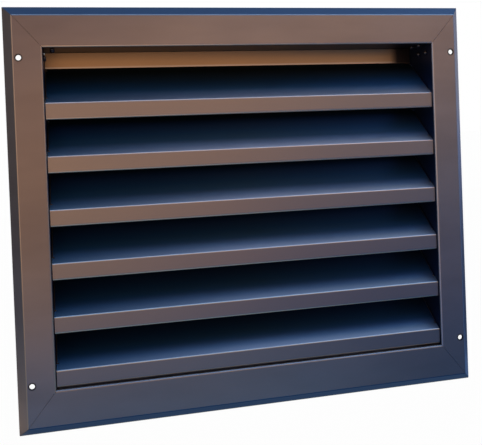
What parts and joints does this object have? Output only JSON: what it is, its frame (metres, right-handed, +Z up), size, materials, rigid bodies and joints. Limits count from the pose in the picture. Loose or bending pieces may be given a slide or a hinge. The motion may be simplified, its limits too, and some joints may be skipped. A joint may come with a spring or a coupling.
{
  "type": "z-blade louvre grille",
  "caption": "Wall louvre grille of folded sheet: a mitred frame with a bevelled lip and fixing holes holds fixed Z-section blades, one above the other.",
  "frame": {"origin": "centre of the rectangle of four fixing holes, on the front face of the frame", "axes": "+X to the right seen from the front, +Y from the front face into the wall, +Z up"},
  "size_m": [0.465, 0.055, 0.3984],
  "materials": {
    "frame": "satin dark bronze powder coat",
    "blades": "satin dark bronze powder coat",
    "cleats": "satin dark bronze powder coat",
    "rivets": "satin dark bronze powder coat"
  },
  "bodies": {
    "root": {"head": "frame", "sill": "frame", "right_jamb": "frame", "left_jamb": "frame", "blade_1": "blades", "blade_1_rivets_right": "rivets", "blade_1_rivets_left": "rivets", "blade_2": "blades", "blade_2_rivets_right": "rivets", "blade_2_rivets_left": "rivets", "blade_3": "blades", "blade_3_rivets_right": "rivets", "blade_3_rivets_left": "rivets", "blade_4": "blades", "blade_4_rivets_right": "rivets", "blade_4_rivets_left": "rivets", "blade_5": "blades", "blade_5_rivets_right": "rivets", "blade_5_rivets_left": "rivets", "blade_6": "blades", "blade_6_rivets_right": "rivets", "blade_6_rivets_left": "rivets", "cleat_top_right": "cleats", "cleat_top_left": "cleats", "cleat_rivets_top_right": "rivets", "cleat_rivets_top_left": "rivets", "corner_plate_top_right": "cleats", "corner_plate_top_left": "cleats", "cleat_bottom_right": "cleats", "cleat_bottom_left": "cleats", "cleat_rivets_bottom_right": "rivets", "cleat_rivets_bottom_left": "rivets", "corner_plate_bottom_right": "cleats", "corner_plate_bottom_left": "cleats"}
  },
  "joints": []
}
